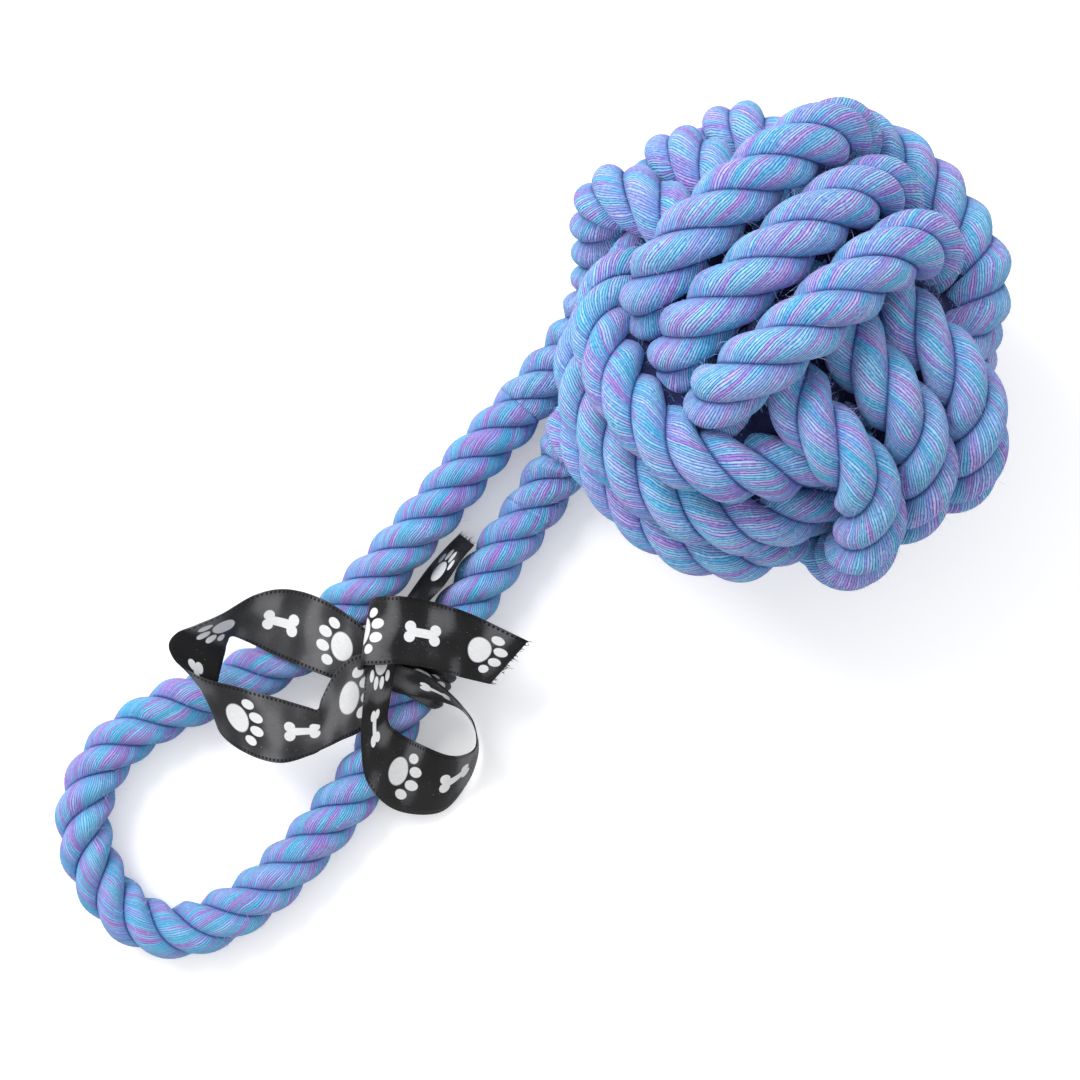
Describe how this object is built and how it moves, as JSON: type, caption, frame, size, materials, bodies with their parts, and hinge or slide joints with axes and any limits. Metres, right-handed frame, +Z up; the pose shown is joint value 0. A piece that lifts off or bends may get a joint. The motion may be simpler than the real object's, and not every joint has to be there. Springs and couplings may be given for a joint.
{
  "type": "rope dog toy",
  "caption": "Knotted rope ball on a rope handle loop, with a satin ribbon bow tied round one leg of the loop.",
  "frame": {"origin": "middle of the toy's outline, on the surface that it lies on", "axes": "+X from the handle loop towards the ball, +Z up, with the handle loop lying flat"},
  "size_m": [0.2736, 0.1162, 0.1138],
  "materials": {
    "cotton_rope": "soft twisted cotton, heathered periwinkle, cyan and lilac yarns, slightly fuzzy",
    "filling": "hard wound cotton offcuts",
    "satin_ribbon": "black woven satin with a fine selvedge and small white printed motifs"
  },
  "bodies": {
    "root": {"knot_rope": "cotton_rope", "handle_rope": "cotton_rope", "filling_ball": "filling", "ribbon_wrap": "satin_ribbon", "ribbon_knot": "satin_ribbon", "ribbon_loop_left": "satin_ribbon", "ribbon_loop_right": "satin_ribbon", "ribbon_tail_front": "satin_ribbon", "ribbon_tail_back": "satin_ribbon"}
  },
  "joints": []
}
